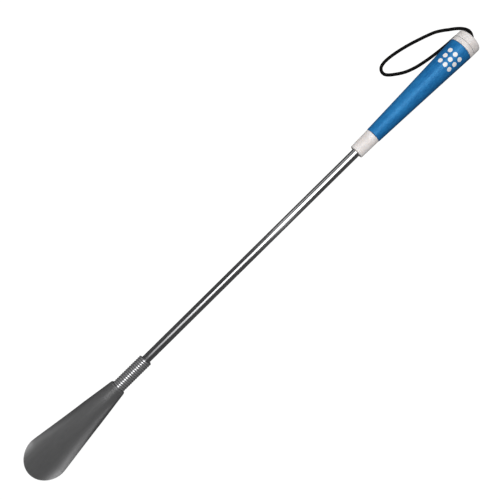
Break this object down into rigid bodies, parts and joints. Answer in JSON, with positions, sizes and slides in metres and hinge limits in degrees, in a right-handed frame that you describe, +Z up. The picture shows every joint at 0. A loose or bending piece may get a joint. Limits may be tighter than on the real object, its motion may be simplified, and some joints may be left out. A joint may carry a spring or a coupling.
{
  "type": "long handled shoehorn",
  "caption": "Long-handled metal shoehorn: stamped horn on a flexible close-coiled spring neck, chromed tube, tapered plastic grip and a wrist loop.",
  "frame": {"origin": "under the middle of the length, on the plane that the horn's rims and the end cap rest on", "axes": "+X from the horn's tip to the end cap, along the shaft; +Z up, out of the horn's crowned back; +Y the side that the wrist loop lies on"},
  "size_m": [0.617, 0.0679, 0.0264],
  "materials": {
    "horn_steel": "satin dark grey",
    "stud_steel": "turned",
    "spring_wire": "drawn wire, bright",
    "shaft_chrome": "polished",
    "plug_plastic": "moulded",
    "white_plastic": "moulded, satin",
    "grip_blue": "satin, fine mottled grain",
    "core_plastic": "moulded",
    "pin_steel": "ground",
    "cord_black": "braided"
  },
  "bodies": {
    "handle": {"shaft_tube": "shaft_chrome", "shaft_tip_plug": "plug_plastic", "lower_ferrule": "white_plastic", "grip_sleeve": "grip_blue", "handle_core": "core_plastic", "core_pin": "pin_steel", "upper_collar": "white_plastic", "end_cap": "white_plastic", "loop_knot": "cord_black", "wrist_loop": "cord_black"},
    "neck": {"flex_spring": "spring_wire"},
    "horn": {"blade": "horn_steel", "socket_stud": "stud_steel"}
  },
  "joints": [
    {"name": "neck_bend_up_down", "type": "hinge", "parent": "handle", "child": "neck", "pos_m": [-0.15652, 0, 0.0132], "axis": [0, 1, 0], "range_deg": [-40, 40], "stiffness_Nm_per_rad": 1.8, "deforming": ["flex_spring"]},
    {"name": "neck_bend_sideways", "type": "hinge", "parent": "neck", "child": "horn", "pos_m": [-0.17217, 0, 0.0132], "axis": [0, 0, 1], "range_deg": [-40, 40], "stiffness_Nm_per_rad": 1.8, "deforming": ["flex_spring"]}
  ]
}
